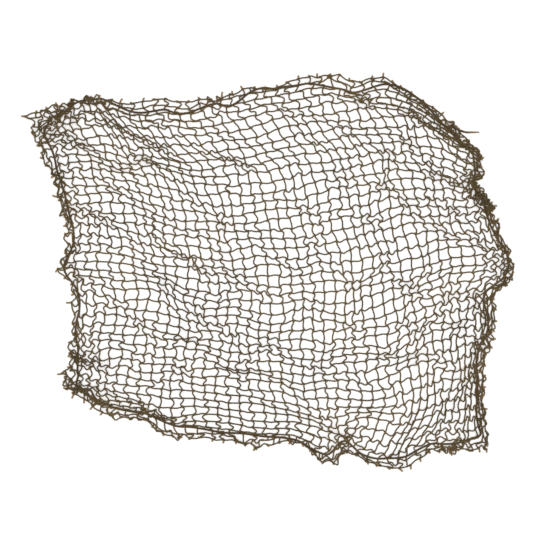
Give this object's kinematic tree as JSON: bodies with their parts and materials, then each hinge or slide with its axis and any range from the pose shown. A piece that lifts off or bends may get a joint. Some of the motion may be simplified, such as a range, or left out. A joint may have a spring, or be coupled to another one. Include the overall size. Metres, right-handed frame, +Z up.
{
  "type": "helmet net",
  "caption": "Nearly square piece of knotted twine netting with a drawcord threaded near its cut edge, drawn up and lying loose and flat. It is stretched over a helmet.",
  "frame": {"origin": "on the surface that the net lies on, under the middle of its bounding box", "axes": "+X along the longer way the net lies, +Y along the shorter way, +Z up from the surface"},
  "size_m": [0.5432, 0.4386, 0.0066],
  "materials": {
    "twine": "dull olive-brown twisted cotton twine",
    "cord": "dull brown twisted cord"
  },
  "bodies": {
    "root": {"net": "twine", "drawcord": "cord"}
  },
  "joints": []
}
